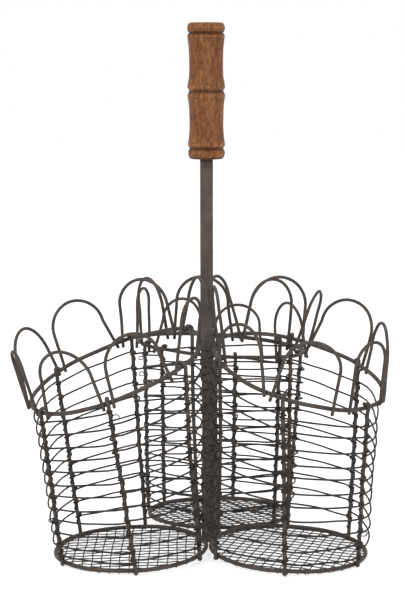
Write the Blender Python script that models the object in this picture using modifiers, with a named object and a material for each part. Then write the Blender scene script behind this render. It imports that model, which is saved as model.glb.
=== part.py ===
"""Three round wire baskets tied round one upright bar that ends in a turned wooden handle.

Metres, +Z up. The origin lies on the floor under the bar, whose foot and the outermost
basket feet stand on that floor. -Y is the front: two baskets face it and the third is behind.
"""
import math

import bmesh
import bpy
from mathutils import Matrix, Vector

NAME = "metal_basket"

# Fits
CLEARANCE = 0.0003
WEAVE_SLACK = 0.00045

# Wires, by diameter
RING_WIRE = 0.003
UPRIGHT_WIRE = 0.0026
LOOP_WIRE = 0.0023
WEAVE_WIRE = 0.0009
LASHING_WIRE = 0.0009
RING_STEPS = 32

# Baskets, measured on the wires' centre lines
BASE_RADIUS = 0.057
RIM_RADIUS = 0.0662
RIM_STEP_OUT = 0.0016
WALL_HEIGHT = 0.1585
BASE_LEAN = math.radians(2.2)
RIM_DIP = math.radians(19)
DIP_TURN = math.radians(-7)
SECTOR_SHARE = 0.979
FOOT_HOOK_ANGLE = math.radians(-34)
RIM_HOOK_ANGLES = [math.radians(a) for a in (-22, 15, 55, 95, 130)]

# Handle bar
BAR_WIDTH = 0.009
BAR_DEPTH = 0.007
BAR_EDGE = 0.0007
BAR_LENGTH = 0.2937
TANG_RADIUS = 0.003
TANG_LENGTH = 0.062

# Turned handle
HANDLE_LENGTH = 0.1008
HANDLE_RADIUS = 0.0136
HANDLE_STEPS = 20

# Lashing round the bar
LASHING_START = 0.011
LASHING_LENGTH = 0.138
LASHING_TURNS = 9
LASHING_STEPS = 3

# The lashing clears the bar's corners
LASHING_RADIUS = math.hypot(BAR_WIDTH, BAR_DEPTH) / 2 + CLEARANCE + LASHING_WIRE / 2

# Winding round each basket
WEAVE_TURNS = 9
WEAVE_TUCK = 0.0012
WEAVE_START_SHARE = 0.055
WEAVE_END_SHARE = 0.955

# Wire cloth floors
MESH_THICKNESS = 0.0009
MESH_WIRE = 0.0012
MESH_PITCH = 0.0166
MESH_HEM = 0.0016
HEM_STEPS = 30
LEAST_CELL_SHARE = 0.12

# Hairpin loops on the rims
LOOP_HEIGHT = 0.0435
LOOP_STUB = 0.003
LOOP_SPLAY = 0.0085
LOOP_SWAY = 0.0065
LOOP_LEAN = 0.01
LOOP_STEPS = 8
ARCH_SHARE = 0.9
ARCH_TILT_SHARE = 0.6

# Each basket was bent by hand: its direction from the bar, its own shares of the sizes above,
# and the degrees, seen from its own centre and counted from its outer side, at which its
# uprights leave the base ring, reach the rim, and at which its loops stand. The winding's
# steps are its straight runs from each upright to the next. A loop leans to the right by
# its share, or to the left where that is below zero.
BASKETS = {
    "back": {
        "direction": 82.5, "reach_share": 1.05,
        "base_share": 0.985, "rim_share": 1.005, "height_share": 0.98, "dip_share": 0.9,
        "splay_share": 0.8, "sway_share": 0.6, "mesh_turn": 33.5,
        "feet": (355.5, 57, 83, 180, 234, 292.5),
        "tops": (356, 51.5, 71, 180, 228, 296),
        "weave_steps": (3, 1, 4, 2, 3, 3),
        "loops": ((336.5, 12.5), (23.5, 58), (65, 86.5), (98, 145), (152, 194),
                  (202, 242), (244.5, 276.5), (280.5, 324.5)),
        "loop_height_shares": (0.94, 0.95, 1.02, 1.03, 0.99, 1.06, 1.02, 0.94),
        "loop_lean_shares": (-0.1, 0.8, 0.35, -0.6, -0.15, 0.55, 1.05, -0.95),
    },
    "left": {
        "direction": 210.5, "reach_share": 1.0,
        "base_share": 0.99, "rim_share": 1.015, "height_share": 1.02, "dip_share": 1.15,
        "splay_share": 1.15, "sway_share": 0.4, "mesh_turn": -30.5,
        "feet": (4, 65, 120, 180, 231, 283),
        "tops": (4.5, 55.4, 109.5, 180, 231, 287.5),
        "weave_steps": (3, 3, 2, 2, 3, 3),
        "loops": ((12, 52), (58.6, 95.5), (105.5, 139.5), (144.5, 185), (194.5, 236),
                  (241.5, 278.5), (284, 333), (341, 0.5)),
        "loop_height_shares": (0.97, 0.9, 0.95, 1.0, 0.99, 0.93, 0.96, 0.97),
        "loop_lean_shares": (-0.4, -0.9, 0.35, 0.9, -0.5, -1.05, -0.6, -0.15),
    },
    "right": {
        "direction": 329.5, "reach_share": 1.0,
        "base_share": 1.01, "rim_share": 0.995, "height_share": 1.0, "dip_share": 0.97,
        "splay_share": 0.75, "sway_share": 0.3, "mesh_turn": 13.5,
        "feet": (354, 68, 118, 180, 237, 295.5),
        "tops": (348.5, 74, 124, 186, 231.5, 289),
        "weave_steps": (3, 3, 2, 2, 3, 3),
        "loops": ((332, 4), (10, 65.5), (70, 110.5), (116, 163.5), (168, 204), (208.5, 235.5),
                  (238.5, 276.5), (281.5, 320.5)),
        "loop_height_shares": (1.08, 1.02, 0.92, 1.04, 1.06, 1.12, 0.86, 0.97),
        "loop_lean_shares": (-0.2, -0.3, 0.85, 0.5, -1.1, -0.45, 0.25, 0.75),
    },
}
BAR_SIDE = 3

# Turned outline of the handle: shares of its length from the top, and of its greatest radius
HANDLE_OUTLINE_SHARES = (
    (0.0, 0.9), (0.006, 0.965), (0.03, 1.0), (0.058, 0.99), (0.067, 0.945), (0.078, 0.985),
    (0.1, 0.99), (0.13, 0.965), (0.2, 0.925), (0.3, 0.905), (0.38, 0.925), (0.45, 0.975),
    (0.477, 0.985), (0.49, 0.925), (0.503, 0.98), (0.53, 0.975), (0.58, 0.93), (0.68, 0.89),
    (0.78, 0.91), (0.86, 0.96), (0.905, 0.985), (0.922, 0.945), (0.936, 0.98), (0.965, 0.98),
    (0.99, 0.93), (1.0, 0.85),
)

METAL = (0.105, 0.088, 0.08)
THIN_METAL = (0.075, 0.062, 0.056)
WOOD = (0.17, 0.075, 0.035)


def clear_scene():
    for obj in list(bpy.data.objects):
        bpy.data.objects.remove(obj, do_unlink=True)


def make_material(name, colour, roughness, metallic):
    mat = bpy.data.materials.new(name)
    mat.use_nodes = True
    shader = mat.node_tree.nodes["Principled BSDF"]
    shader.inputs["Base Color"].default_value = (*colour, 1.0)
    shader.inputs["Roughness"].default_value = roughness
    shader.inputs["Metallic"].default_value = metallic
    mat.diffuse_color = (*colour, 1.0)
    return mat


def put(obj, material):
    """Give an object its material and its place in the model's collection."""
    for holder in list(obj.users_collection):
        holder.objects.unlink(obj)
    PARTS.objects.link(obj)
    if not obj.data.materials:
        obj.data.materials.append(material)
    obj.parent = ROOT
    return obj


def wire(name, points, diameter, material):
    """A round wire through the points, closed at both ends."""
    curve = bpy.data.curves.new(name, "CURVE")
    curve.dimensions = "3D"
    curve.bevel_depth = diameter / 2
    curve.bevel_resolution = 1
    curve.use_fill_caps = True
    curve.render_resolution_u = 0
    spline = curve.splines.new("POLY")
    spline.points.add(len(points) - 1)
    for slot, point in zip(spline.points, points):
        slot.co = (*point, 1.0)
    return put(bpy.data.objects.new(name, curve), material)


def ring(name, frame, radius, material):
    """A closed ring of the ring wire in the frame's own plane."""
    bpy.ops.mesh.primitive_torus_add(
        major_radius=radius, minor_radius=RING_WIRE / 2,
        major_segments=RING_STEPS, minor_segments=6, align="WORLD",
    )
    obj = bpy.context.object
    obj.name = obj.data.name = name
    obj.data.shade_smooth()
    put(obj, material)
    obj.matrix_world = frame
    return obj


class Basket:
    """The two rings that every wire of one basket follows."""

    def __init__(self, name, shape):
        self.name = name
        self.shape = shape
        self.base_radius = BASE_RADIUS * shape["base_share"]
        self.rim_radius = RIM_RADIUS * shape["rim_share"]
        dip = RIM_DIP * shape["dip_share"]
        spin = Matrix.Rotation(math.radians(shape["direction"]), 4, "Z")
        half_sector = math.radians(60) * SECTOR_SHARE
        room = RING_WIRE / 2 + CLEARANCE

        beside = (self.base_radius + room) / math.sin(half_sector)
        bundle = LASHING_RADIUS + LASHING_WIRE / 2 + CLEARANCE + UPRIGHT_WIRE / 2
        behind = self.base_radius + self.hook(UPRIGHT_WIRE) + bundle
        base_reach = max(beside, behind) * shape["reach_share"]
        foot_depth = self.hook(UPRIGHT_WIRE) * math.sin(BASE_LEAN - FOOT_HOOK_ANGLE)
        foot_depth += UPRIGHT_WIRE / 2 * math.sin(BASE_LEAN - FOOT_HOOK_ANGLE / 2)
        base_height = foot_depth + self.base_radius * math.sin(BASE_LEAN)
        self.base = spin @ Matrix.Translation((base_reach, 0, base_height))
        self.base = self.base @ Matrix.Rotation(BASE_LEAN, 4, "Y")

        across = self.rim_radius * math.cos(dip) * math.cos(math.radians(30))
        along = self.rim_radius * math.sin(math.radians(30))
        rim_reach = (math.hypot(across, along) + room) / math.sin(half_sector) + RIM_STEP_OUT
        rim_reach *= shape["reach_share"]
        inner_height = base_height + WALL_HEIGHT * shape["height_share"]
        rim_height = inner_height - self.rim_radius * math.sin(dip)
        turn = Matrix.Rotation(DIP_TURN, 4, "Z")
        self.rim = spin @ Matrix.Translation((rim_reach, 0, rim_height))
        self.rim = self.rim @ turn @ Matrix.Rotation(dip, 4, "Y") @ turn.inverted()

    @staticmethod
    def hook(diameter):
        """Centre line distance of a wire that lies against a ring."""
        return RING_WIRE / 2 + CLEARANCE + diameter / 2

    def bar_side(self):
        """The angles of the post that stands against the bar."""
        return self.shape["feet"][BAR_SIDE], self.shape["tops"][BAR_SIDE]

    def around(self, frame, radius, degrees):
        """Centre of a ring's wire at an angle, with the way out and the ring's normal."""
        angle = math.radians(degrees)
        out = Vector((math.cos(angle), math.sin(angle), 0))
        turned = frame.to_3x3()
        return frame @ (out * radius), turned @ out, turned @ Vector((0, 0, 1))

    def wall(self, share, foot, top, offset):
        """A point of the wall between the two rings, set out from it by the offset."""
        low, low_out, _ = self.around(self.base, self.base_radius, foot)
        high, high_out, _ = self.around(self.rim, self.rim_radius, top)
        return (low + low_out * offset).lerp(high + high_out * offset, share)


def upright(basket, index):
    """A post that hooks under the base ring, rises outside both rings and folds over the rim."""
    name = f"{basket.name}_upright_{index + 1}"
    reach = basket.hook(UPRIGHT_WIRE)
    points = []
    low, out, normal = basket.around(basket.base, basket.base_radius, basket.shape["feet"][index])
    for angle in (FOOT_HOOK_ANGLE, 0.0):
        points.append(low + (out * math.cos(angle) + normal * math.sin(angle)) * reach)
    high, out, normal = basket.around(basket.rim, basket.rim_radius, basket.shape["tops"][index])
    for angle in RIM_HOOK_ANGLES:
        points.append(high + (out * math.cos(angle) + normal * math.sin(angle)) * reach)
    return wire(name, points, UPRIGHT_WIRE, STEEL)


def loop(basket, index):
    """A hairpin on the rim: straight legs, a round arch, and a short stub below each foot."""
    name = f"{basket.name}_loop_{index + 1}"
    first, last = basket.shape["loops"][index]
    last += 360 if last < first else 0
    middle = math.radians((first + last) / 2)
    inward = math.cos(middle) < -0.3
    side = -basket.hook(LOOP_WIRE) if inward else basket.hook(LOOP_WIRE)
    up = Vector((0, 0, 1))
    feet = []
    for degrees in (first, last):
        point, out, normal = basket.around(basket.rim, basket.rim_radius, degrees)
        level = normal.cross(out).cross(up).normalized()
        feet.append(point + level * side)
    half = (feet[1] - feet[0]) / 2
    centre = (feet[0] + feet[1]) / 2
    spin = Matrix.Rotation(math.radians(basket.shape["direction"]), 3, "Z")
    outward = spin @ Vector((math.cos(middle), math.sin(middle), 0))
    downhill = spin @ Matrix.Rotation(DIP_TURN, 3, "Z") @ Vector((1, 0, 0))
    splay = LOOP_SPLAY * basket.shape["splay_share"] * (1 + math.cos(middle)) / 2
    lean = outward * splay + downhill * LOOP_SWAY * basket.shape["sway_share"]
    lean += Vector((1, 0, 0)) * LOOP_LEAN * basket.shape["loop_lean_shares"][index]
    height = LOOP_HEIGHT * basket.shape["loop_height_shares"][index]
    tip = centre + up * height + lean
    along = Vector((half.x, half.y, half.z * ARCH_TILT_SHARE)).normalized()
    rise = (tip - centre) - along * (tip - centre).dot(along)
    radius = half.length * ARCH_SHARE
    arch = tip - rise.normalized() * radius
    points = []
    for step in range(LOOP_STEPS + 1):
        turn = math.pi * step / LOOP_STEPS
        points.append(arch + (rise.normalized() * math.sin(turn) - along * math.cos(turn)) * radius)
    starts = [feet[0] - (points[0] - feet[0]).normalized() * LOOP_STUB, feet[0]]
    ends = [feet[1], feet[1] - (points[-1] - feet[1]).normalized() * LOOP_STUB]
    points = starts + points + ends
    return wire(name, points, LOOP_WIRE, STEEL)


def least_gap(points, diameter, turn_points):
    """Least clear distance between a winding and its own other turns, measured on points."""
    least = math.inf
    for i, point in enumerate(points):
        for j in range(i + turn_points // 2, len(points) - 1):
            span = points[j + 1] - points[j]
            share = (point - points[j]).dot(span) / span.length_squared
            nearest = points[j] + span * min(1.0, max(0.0, share))
            least = min(least, (point - nearest).length)
    return least - diameter


def weave(basket):
    """One wire wound from the floor to the rim, outside every post but the one at the bar."""
    feet, tops = basket.shape["feet"], basket.shape["tops"]
    posts = len(feet)
    reach = basket.hook(UPRIGHT_WIRE)
    past = (UPRIGHT_WIRE + WEAVE_WIRE) / 2 + WEAVE_SLACK
    runs = basket.shape["weave_steps"]
    steps = sum(runs)
    stops = [(post, step / count) for post, count in enumerate(runs) for step in range(count)]
    points = []
    for count in range(WEAVE_TURNS * steps + 1):
        post, part = stops[count % steps]
        foot = feet[post] + (feet[(post + 1) % posts] - feet[post]) % 360 * part
        top = tops[post] + (tops[(post + 1) % posts] - tops[post]) % 360 * part
        share = count / (WEAVE_TURNS * steps)
        share = WEAVE_START_SHARE + (WEAVE_END_SHARE - WEAVE_START_SHARE) * share
        if part == 0:
            offset = reach - past if post == BAR_SIDE else reach + past
        elif post in (BAR_SIDE - 1, BAR_SIDE):
            offset = -WEAVE_TUCK
        else:
            offset = reach
        points.append(basket.wall(share, foot, top, offset))
    gap = least_gap(points, WEAVE_WIRE, steps)
    print(f"{basket.name} winding: least gap to itself {gap * 1000:.2f} mm")
    return wire(f"{basket.name}_weave_wire", points, WEAVE_WIRE, THIN_STEEL)


def clip(outline, limit):
    """The part of a flat outline inside a larger convex one."""
    for start, end in zip(limit, limit[1:] + limit[:1]):
        edge = end - start
        kept = []
        for here, after in zip(outline, outline[1:] + outline[:1]):
            a = edge.cross(here - start)
            b = edge.cross(after - start)
            if a >= 0:
                kept.append(here)
            if (a < 0) != (b < 0):
                kept.append(here.lerp(after, a / (a - b)))
        outline = kept
        if len(outline) < 3:
            return []
    return outline


def area(outline):
    return sum(a.cross(b) for a, b in zip(outline, outline[1:] + outline[:1])) / 2


def floor_mesh(basket):
    """A round of wire cloth with a hem, cut to lie inside the base ring."""
    radius = basket.base_radius - RING_WIRE / 2 - CLEARANCE
    curve = bpy.data.curves.new(f"{basket.name}_floor_mesh", "CURVE")
    curve.dimensions = "2D"
    curve.fill_mode = "BOTH"
    curve.extrude = MESH_THICKNESS / 2
    curve.render_resolution_u = 0
    circles = []
    for size in (radius, radius - MESH_HEM):
        angles = [math.tau * k / HEM_STEPS for k in range(HEM_STEPS)]
        circles.append([Vector((math.cos(a), math.sin(a))) * size for a in angles])
    outlines = [circles[0]]
    half = (MESH_PITCH - MESH_WIRE) / 2
    reach = math.ceil(radius / MESH_PITCH)
    for column in range(-reach, reach):
        for row in range(-reach, reach):
            middle = Vector((column + 0.5, row + 0.5)) * MESH_PITCH
            corners = [Vector(c) * half for c in ((-1, -1), (1, -1), (1, 1), (-1, 1))]
            cell = clip([middle + corner for corner in corners], circles[1])
            if cell and area(cell) > LEAST_CELL_SHARE * (2 * half) ** 2:
                outlines.append(cell)
    for outline in outlines:
        spline = curve.splines.new("POLY")
        spline.points.add(len(outline) - 1)
        spline.use_cyclic_u = True
        for slot, point in zip(spline.points, outline):
            slot.co = (*point, 0.0, 1.0)
    obj = put(bpy.data.objects.new(curve.name, curve), THIN_STEEL)
    obj.matrix_world = basket.base @ Matrix.Rotation(math.radians(basket.shape["mesh_turn"]), 4, "Z")
    print(f"{basket.name} floor: {len(outlines) - 1} gaps")
    return obj


def bar():
    """The flat-sided bar, standing on the floor, with a round tang for the handle."""
    mesh = bpy.data.meshes.new("centre_bar")
    bm = bmesh.new()
    bmesh.ops.create_cube(bm, size=1.0)
    bmesh.ops.scale(bm, vec=(BAR_WIDTH, BAR_DEPTH, BAR_LENGTH), verts=bm.verts)
    bmesh.ops.translate(bm, vec=(0, 0, BAR_LENGTH / 2), verts=bm.verts)
    upright_edges = [e for e in bm.edges if abs(e.verts[0].co.z - e.verts[1].co.z) > BAR_WIDTH]
    bmesh.ops.bevel(bm, geom=upright_edges, offset=BAR_EDGE, segments=2, affect="EDGES", profile=0.5)
    bm.to_mesh(mesh)
    bm.free()
    obj = put(bpy.data.objects.new("centre_bar", mesh), STEEL)
    tang_mesh = bpy.data.meshes.new("tang")
    bm = bmesh.new()
    bmesh.ops.create_cone(
        bm, cap_ends=True, segments=20, radius1=TANG_RADIUS, radius2=TANG_RADIUS,
        depth=TANG_LENGTH + BAR_EDGE,
    )
    bmesh.ops.translate(bm, vec=(0, 0, BAR_LENGTH + (TANG_LENGTH - BAR_EDGE) / 2), verts=bm.verts)
    bm.to_mesh(tang_mesh)
    bm.free()
    tang = bpy.data.objects.new("cutter_tang", tang_mesh)
    CUTTERS.objects.link(tang)
    tang.hide_render = True
    tang.display_type = "WIRE"
    union = obj.modifiers.new("Tang", "BOOLEAN")
    union.operation = "UNION"
    union.object = tang
    return obj


def handle():
    """The turned grip: beads and grooves at both ends and the middle, and a blind bore below."""
    foot = BAR_LENGTH + CLEARANCE
    top = foot + HANDLE_LENGTH
    bore = TANG_RADIUS + CLEARANCE
    bore_top = foot + TANG_LENGTH
    profile = [(0.0, top)]
    for down, out in HANDLE_OUTLINE_SHARES:
        profile.append((HANDLE_RADIUS * out, top - HANDLE_LENGTH * down))
    profile += [(bore, foot), (bore, bore_top), (0.0, bore_top)]
    mesh = bpy.data.meshes.new("wooden_handle")
    links = [(k, k + 1) for k in range(len(profile) - 1)]
    mesh.from_pydata([(x, 0, z) for x, z in profile], links, [])
    obj = put(bpy.data.objects.new("wooden_handle", mesh), TIMBER)
    screw = obj.modifiers.new("Turn", "SCREW")
    screw.angle = math.tau
    screw.steps = screw.render_steps = HANDLE_STEPS
    screw.use_merge_vertices = True
    screw.merge_threshold = CLEARANCE / 10
    screw.use_smooth_shade = True
    return obj


def lashing(baskets):
    """Binding wire wound tight on the bar and out round the nearest post of each basket."""
    seats = []
    for basket in baskets:
        post = basket.wall(0, *basket.bar_side(), basket.hook(UPRIGHT_WIRE)).to_2d()
        room = post.length - UPRIGHT_WIRE / 2 - CLEARANCE - LASHING_WIRE / 2
        seats.append((math.atan2(post.y, post.x) % math.tau, room))
    seats.sort()
    steps = len(seats) * LASHING_STEPS
    points = []
    for count in range(LASHING_TURNS * steps + 1):
        seat, part = divmod(count % steps, LASHING_STEPS)
        angle, room = seats[seat]
        after = seats[(seat + 1) % len(seats)][0]
        angle += (after - angle) % math.tau * part / LASHING_STEPS
        radius = LASHING_RADIUS if part else room
        height = LASHING_START + LASHING_LENGTH * count / (LASHING_TURNS * steps)
        points.append(Vector((radius * math.cos(angle), radius * math.sin(angle), height)))
    gap = least_gap(points, LASHING_WIRE, steps)
    print(f"lashing: least gap to itself {gap * 1000:.2f} mm")
    return wire("lashing_wire", points, LASHING_WIRE, THIN_STEEL)


clear_scene()
PARTS = bpy.data.collections.new(NAME)
CUTTERS = bpy.data.collections.new("cutters")
bpy.context.scene.collection.children.link(PARTS)
bpy.context.scene.collection.children.link(CUTTERS)
ROOT = bpy.data.objects.new("root", None)
PARTS.objects.link(ROOT)
STEEL = make_material("dark_steel", METAL, 0.5, 0.7)
THIN_STEEL = make_material("thin_steel", THIN_METAL, 0.55, 0.7)
TIMBER = make_material("stained_wood", WOOD, 0.45, 0.0)

bar()
handle()
made = [Basket(key, values) for key, values in BASKETS.items()]
lashing(made)
for basket in made:
    ring(f"{basket.name}_base_ring", basket.base, basket.base_radius, STEEL)
    ring(f"{basket.name}_rim_ring", basket.rim, basket.rim_radius, STEEL)
    floor_mesh(basket)
    weave(basket)
    for post in range(len(basket.shape["feet"])):
        upright(basket, post)
    for pin in range(len(basket.shape["loops"])):
        loop(basket, pin)
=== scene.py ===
import math

import bpy
from mathutils import Matrix, Vector, noise

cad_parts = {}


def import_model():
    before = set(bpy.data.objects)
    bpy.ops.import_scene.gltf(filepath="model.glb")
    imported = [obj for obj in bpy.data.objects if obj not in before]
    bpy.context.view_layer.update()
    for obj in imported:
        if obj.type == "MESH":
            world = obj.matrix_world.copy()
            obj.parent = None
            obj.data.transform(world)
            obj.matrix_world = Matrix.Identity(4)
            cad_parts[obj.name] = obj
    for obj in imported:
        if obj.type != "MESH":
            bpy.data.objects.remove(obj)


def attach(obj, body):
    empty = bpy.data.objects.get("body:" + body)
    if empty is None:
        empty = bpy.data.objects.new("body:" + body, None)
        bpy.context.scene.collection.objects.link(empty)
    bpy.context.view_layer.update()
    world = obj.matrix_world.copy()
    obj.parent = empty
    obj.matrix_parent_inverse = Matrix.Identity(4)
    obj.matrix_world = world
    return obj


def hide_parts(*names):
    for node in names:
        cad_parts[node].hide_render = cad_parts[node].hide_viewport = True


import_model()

UP = Vector((0, 0, 1))


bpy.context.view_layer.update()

# The CAD part's sizes in metres, with its angles, shares and counts
CLEARANCE = 0.0003
RING_WIRE = 0.003
UPRIGHT_WIRE = 0.0026
LOOP_WIRE = 0.0023
WEAVE_WIRE = 0.0009
LASHING_WIRE = 0.0009
BASE_RADIUS = 0.057
RIM_RADIUS = 0.0662
RIM_STEP_OUT = 0.0016
WALL_HEIGHT = 0.1585
BASE_LEAN = math.radians(2.2)
RIM_DIP = math.radians(19)
DIP_TURN = math.radians(-7)
SECTOR_SHARE = 0.979
FOOT_HOOK_ANGLE = math.radians(-34)
RIM_HOOK_START = math.radians(-22)
RIM_HOOK_END = math.radians(130)
BAR_WIDTH = 0.009
BAR_DEPTH = 0.007
BAR_LENGTH = 0.2937
HANDLE_LENGTH = 0.1008
HANDLE_RADIUS = 0.0136
LASHING_START = 0.011
LASHING_LENGTH = 0.138
LASHING_RADIUS = math.hypot(BAR_WIDTH, BAR_DEPTH) / 2 + CLEARANCE + LASHING_WIRE / 2
LOOP_HEIGHT = 0.0435
LOOP_STUB = 0.003
LOOP_SPLAY = 0.0085
LOOP_SWAY = 0.0065
LOOP_LEAN = 0.01
ARCH_SHARE = 0.9
ARCH_TILT_SHARE = 0.6
POSTS = 6
BAR_SIDE = 3
INSIDE_COSINE = -0.3

# The part's table of baskets, with small departures for the looks: how far the rim is squeezed, sinks
# and tilts, how far the floor ring is shifted and grown, three of the left tops, and for the winding
# its turns, which way it goes and how far its courses bow
BASKETS = {
    "back": {
        "direction": 82.5, "reach_share": 1.05,
        "base_share": 0.985, "rim_share": 1.005, "height_share": 0.98, "dip_share": 0.9,
        "splay_share": 0.8, "sway_share": 0.6, "mesh_turn": 33.5, "turns": 10.4, "way": 1,
        "bow_share": 0.095, "rim_squeeze": 0.0, "rim_drop": 0.0015, "rim_tilt": 0.0,
        "base_shift": 0.0, "base_grow": 0.0,
        "feet": (355.5, 57, 83, 180, 234, 292.5),
        "tops": (356, 51.5, 71, 180, 228, 296),
        "loops": ((336.5, 12.5), (23.5, 58), (65, 86.5), (98, 145), (152, 194),
                  (202, 242), (244.5, 276.5), (280.5, 324.5)),
        "loop_height_shares": (0.94, 0.95, 1.02, 1.03, 0.99, 1.06, 1.02, 0.94),
        "loop_lean_shares": (-0.1, 0.8, 0.35, -0.6, -0.15, 0.55, 1.05, -0.95),
    },
    "left": {
        "direction": 210.5, "reach_share": 1.0,
        "base_share": 0.99, "rim_share": 1.015, "height_share": 1.02, "dip_share": 1.15,
        "splay_share": 1.15, "sway_share": 0.4, "mesh_turn": -30.5, "turns": 11.2, "way": 1,
        "bow_share": 0.1, "rim_squeeze": 0.0, "rim_drop": 0.0005, "rim_tilt": 0.0,
        "base_shift": 0.0012, "base_grow": 0.0,
        "feet": (4, 65, 120, 180, 231, 283),
        "tops": (4.5, 55.4, 108.5, 181, 231, 285.7),
        "loops": ((12, 52), (58.6, 95.5), (105.5, 139.5), (144.5, 185), (194.5, 236),
                  (241.5, 278.5), (284, 333), (341, 0.5)),
        "loop_height_shares": (0.97, 0.9, 0.95, 1.0, 0.99, 0.93, 0.96, 0.97),
        "loop_lean_shares": (-0.4, -0.9, 0.35, 0.9, -0.5, -1.05, -0.6, -0.15),
    },
    "right": {
        "direction": 329.5, "reach_share": 1.0,
        "base_share": 1.01, "rim_share": 0.995, "height_share": 1.0, "dip_share": 0.97,
        "splay_share": 0.75, "sway_share": 0.3, "mesh_turn": 13.5, "turns": 10.6, "way": -1,
        "bow_share": 0.112, "rim_squeeze": 0.025, "rim_drop": 0.0015, "rim_tilt": -0.5,
        "base_shift": 0.0005, "base_grow": 0.0004,
        "feet": (354, 68, 118, 180, 237, 295.5),
        "tops": (348.5, 74, 124, 186, 231.5, 289),
        "loops": ((332, 4), (10, 65.5), (70, 110.5), (116, 163.5), (168, 204), (208.5, 235.5),
                  (238.5, 276.5), (281.5, 320.5)),
        "loop_height_shares": (1.08, 1.02, 0.92, 1.04, 1.06, 1.12, 0.86, 0.97),
        "loop_lean_shares": (-0.2, -0.3, 0.85, 0.5, -1.1, -0.45, 0.25, 0.75),
    },
}

# Turned outline of the handle: shares of its length from the top, and of its greatest radius
HANDLE_OUTLINE_SHARES = (
    (0.0, 0.84), (0.003, 0.89), (0.01, 0.935), (0.02, 0.97), (0.032, 0.995), (0.042, 1.0),
    (0.052, 0.99), (0.062, 0.965), (0.069, 0.935), (0.074, 0.9), (0.078, 0.9), (0.083, 0.945),
    (0.09, 0.975), (0.098, 0.995), (0.106, 1.0), (0.111, 0.985), (0.114, 0.965), (0.119, 0.975),
    (0.127, 0.97), (0.145, 0.953), (0.175, 0.928), (0.21, 0.91), (0.26, 0.899), (0.31, 0.894),
    (0.36, 0.9), (0.395, 0.915), (0.425, 0.947), (0.45, 0.98), (0.464, 0.995), (0.474, 1.0),
    (0.481, 0.98), (0.487, 0.94), (0.494, 0.915), (0.502, 0.915), (0.509, 0.935), (0.516, 0.965),
    (0.526, 0.985), (0.537, 1.0), (0.545, 0.992), (0.556, 0.978), (0.572, 0.956), (0.6, 0.931),
    (0.64, 0.914), (0.7, 0.903), (0.76, 0.897), (0.8, 0.91), (0.84, 0.935), (0.87, 0.965),
    (0.89, 0.985), (0.9, 0.98), (0.908, 0.955), (0.915, 0.925), (0.921, 0.895), (0.927, 0.91),
    (0.934, 0.95), (0.945, 0.975), (0.955, 0.985), (0.965, 0.972), (0.978, 0.952), (0.988, 0.92),
    (0.996, 0.875), (1.0, 0.83),
)

# Looks of the bar and the handle. The bar bends by a shift at each height.
HANDLE_SWELL = 1.035
HANDLE_SIDES = 96
OUTLINE_STEPS = 3
HANDLE_DENT_FINENESS = 220.0
HANDLE_DENT = 0.00006
TOP_CAP_SHARES = (0.3, 0.6, 0.8)
FOOT_CAP_SHARES = (0.7, 0.5, 0.3)
BAR_SWELL = 1.07
BAR_EDGE = 0.0009
BAR_LEVELS = 110
BAR_CORNER_STEPS = 4
BAR_FACE_SHARES = (0.6, 0.0, -0.6)
BAR_DENT_FINENESS = Vector((160.0, 160.0, 90.0))
BAR_DENT = 0.00012
BAR_BENDS = ((0.0, 0.0003), (0.09, 0.0005), (0.19, -0.0008), (0.3, -0.001), (0.4, -0.0014))

# How much thicker each wire is drawn than in the part, and how uneven it is along its length
RING_SWELL = 1.06
POST_SWELL = 1.14
LOOP_SWELL = 1.08
WEAVE_SWELL = 1.58
TWIST_SWELL = 1.35
UNEVEN_FINENESS = 260.0
RING_UNEVEN = 0.03
POST_UNEVEN = 0.08
LOOP_UNEVEN = 0.05
WEAVE_UNEVEN = 0.08
TWIST_UNEVEN = 0.1
CLOTH_UNEVEN = 0.05

# Sides of each wire's tube, and steps round a heavy ring. Hairpins have as many sides as posts, ties
# as many as the winding, and wire cloth as many as the twisted wire.
HOOP_STEPS = 144
RING_SIDES = 14
POST_SIDES = 12
LUMP_SIDES = 8
WEAVE_SIDES = 7
TWIST_SIDES = 6

# Round ends of a wire, as shares of its radius
CAP_INSET_SHARE = 0.35
CAP_RIM_SHARE = 0.72
CAP_TIP_SHARE = 0.5

# Small smooth bends: the length over which they change, and how far they go
WANDER_OFFSETS = (Vector((0.37, 0.81, 0.13)), Vector((5.19, 2.43, 7.61)), Vector((9.73, 6.28, 3.52)))
HOOP_BEND_SIZE = 0.03
BASE_BEND = 0.0005
RIM_BEND = 0.0008
POST_BEND_SIZE = 0.028
POST_BEND = 0.0007
LEG_BEND_SIZE = 0.02
LEG_BEND = 0.0005
COURSE_BEND_SIZE = 0.02
COURSE_BEND = 0.0009
CLOTH_BEND_SIZE = 0.025
CLOTH_BEND = 0.0009
CLOTH_BEND_RISE_SHARE = 0.3
TIE_BEND_SIZE = 0.012
TIE_BEND = 0.0006

# Uprights: their foot, their bow to the side at mid height (basket and upright, with how far), and
# the lump that closes the foot
FOOT_ANGLE = math.radians(-24)
FOOT_STEPS = 6
HOOK_STEPS = 14
STEM_STEPS = 30
POST_BOWS = {("left", 2): -0.0015, ("left", 3): -0.0015, ("right", 3): 0.0016}
FOOT_KNOB_RADIUS = 0.0019
FOOT_KNOB_LENGTH = 0.003

# Hairpins: steps of the legs and the arch, how far their ends go past the rim against the part's,
# and the legs that end nearer to it (basket, hairpin and leg, with the share that is left)
LEG_STEPS = 9
ARCH_STEPS = 22
STUB_SHARE = 1.4
SHORT_STUBS = {
    ("right", 0, 0): 0.6, ("right", 0, 1): 0.05, ("right", 1, 0): 0.05, ("right", 3, 1): 0.5,
    ("right", 6, 1): 0.6, ("left", 3, 0): 0.6, ("left", 7, 0): 0.5, ("left", 7, 1): 0.5,
}

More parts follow.
